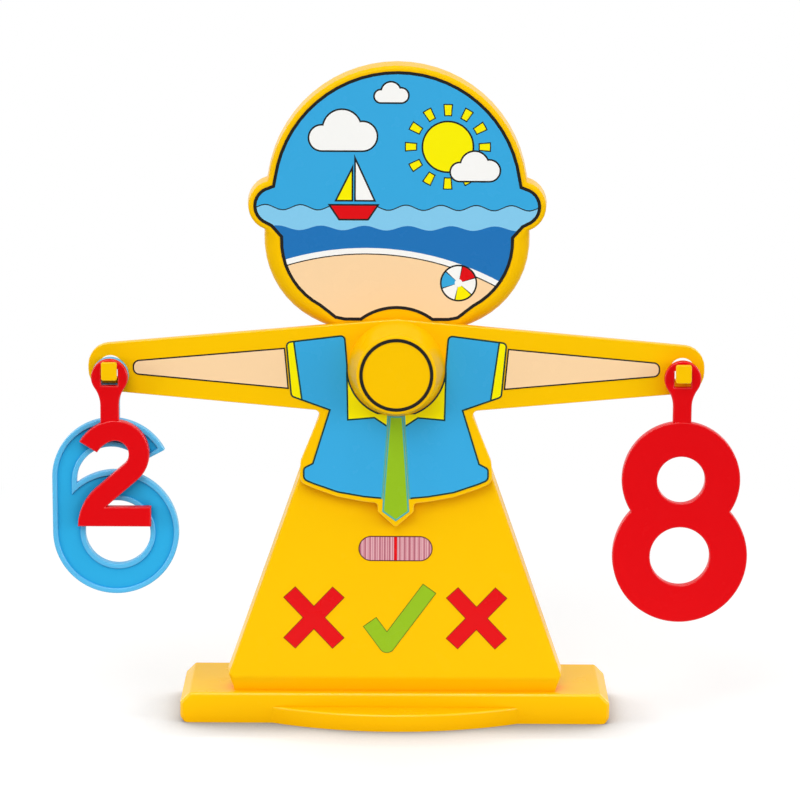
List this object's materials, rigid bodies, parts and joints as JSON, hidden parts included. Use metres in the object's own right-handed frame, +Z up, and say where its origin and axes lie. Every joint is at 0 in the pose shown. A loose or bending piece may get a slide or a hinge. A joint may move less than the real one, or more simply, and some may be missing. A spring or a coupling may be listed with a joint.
{
  "type": "balance scale toy",
  "caption": "Moulded plastic balance scale toy: a tapered column with a round head on a flat foot, a tilting beam with a pointer, and number weights on hooks.",
  "frame": {"origin": "on the table, under the beam's pivot, at the middle of the base's depth", "axes": "+Z up, +X along the beam to the right, -Y out of the printed front"},
  "size_m": [0.4191, 0.0997, 0.404],
  "materials": {
    "yellow_plastic": "glossy moulded",
    "red_plastic": "glossy moulded",
    "blue_plastic": "glossy moulded",
    "bearing_plastic": "satin nylon",
    "screw_steel": "zinc plated",
    "peach_print": "printed film",
    "blue_print": "printed film",
    "green_print": "printed film",
    "red_print": "printed film",
    "pink_print": "printed film",
    "black_print": "printed film"
  },
  "bodies": {
    "stand": {"base_shell": "yellow_plastic", "stand_front_shell": "yellow_plastic", "stand_back_cover": "yellow_plastic", "cover_screws": "screw_steel", "base_screws": "screw_steel", "axle_pin": "screw_steel", "thrust_washer": "bearing_plastic", "retaining_washer": "screw_steel", "axle_screw": "screw_steel", "head_label": "peach_print", "balance_strip": "pink_print", "tick_label": "green_print", "cross_labels": "red_print"},
    "beam": {"beam_plate": "yellow_plastic", "hub_bush": "bearing_plastic", "hub_cap": "yellow_plastic", "hub_ring_label": "black_print", "body_label": "blue_print", "pointer_label": "green_print", "left_arm_label": "peach_print", "right_arm_label": "peach_print"},
    "two": {"number_two": "red_plastic"},
    "six": {"number_six": "blue_plastic"},
    "eight": {"number_eight": "red_plastic"}
  },
  "joints": [
    {"name": "beam_tilt", "type": "hinge", "parent": "stand", "child": "beam", "pos_m": [0, -0.041, 0.222], "axis": [0, 1, 0], "range_deg": [-17, 17]},
    {"name": "two_swing", "type": "hinge", "parent": "beam", "child": "two", "pos_m": [-0.1715, -0.0505, 0.2193], "axis": [0, 1, 0], "range_deg": [-40, 40]},
    {"name": "six_swing", "type": "hinge", "parent": "beam", "child": "six", "pos_m": [-0.1715, -0.0445, 0.2193], "axis": [0, 1, 0], "range_deg": [-40, 40]},
    {"name": "eight_swing", "type": "hinge", "parent": "beam", "child": "eight", "pos_m": [0.1715, -0.047, 0.2193], "axis": [0, 1, 0], "range_deg": [-40, 40]}
  ]
}
